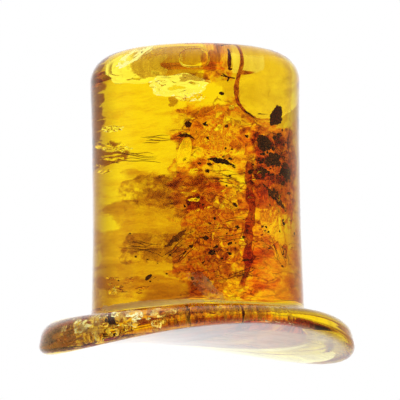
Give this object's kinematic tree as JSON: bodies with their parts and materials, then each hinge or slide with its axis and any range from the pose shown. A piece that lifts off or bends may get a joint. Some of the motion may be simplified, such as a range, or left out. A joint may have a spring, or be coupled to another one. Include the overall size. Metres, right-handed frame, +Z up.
{
  "type": "amber lip plug",
  "caption": "Lip plug in the shape of a small top hat, carved from one piece of clear golden amber, with bits of bark, wood and dust caught in the resin.",
  "frame": {"origin": "under the crown's axis, on the surface that the two ends of the brim stand on", "axes": "+Z up the crown towards its flat top, +X along the oval brim's length"},
  "size_m": [0.026, 0.0196, 0.0237],
  "materials": {
    "amber": "hand-polished natural amber, clear golden yellow",
    "dark_bark": "near-black bark and dirt sealed in resin",
    "brown_wood": "brown wood and leaf fragments sealed in resin",
    "resin_dust": "fine orange-brown wood dust between flows of resin"
  },
  "bodies": {
    "root": {"amber_body": "amber", "bark_chip": "dark_bark", "bark_crumb_left": "dark_bark", "bark_crumb_lower": "dark_bark", "bark_crumb_right": "dark_bark", "bark_crumb_small": "dark_bark", "dirt_specks": "dark_bark", "bark_splinter": "brown_wood", "bark_shred": "brown_wood", "twig_splinter": "brown_wood", "wood_flake": "brown_wood", "brown_sliver": "brown_wood", "leaf_curl": "brown_wood", "seed_husk": "dark_bark", "plant_hairs": "brown_wood", "twisted_fibre": "brown_wood", "dust_seam": "resin_dust", "dust_veil_upper": "resin_dust", "dust_veil_lower": "resin_dust", "dust_veil_right": "resin_dust", "dust_veil_foot": "resin_dust", "dust_cloud_left": "resin_dust", "dust_cloud_middle": "resin_dust", "clay_film": "resin_dust", "bark_skin_upper": "brown_wood", "bark_skin_middle": "brown_wood", "brim_dirt_left": "dark_bark", "brim_dirt_middle": "dark_bark", "brim_dirt_right": "dark_bark"}
  },
  "joints": []
}
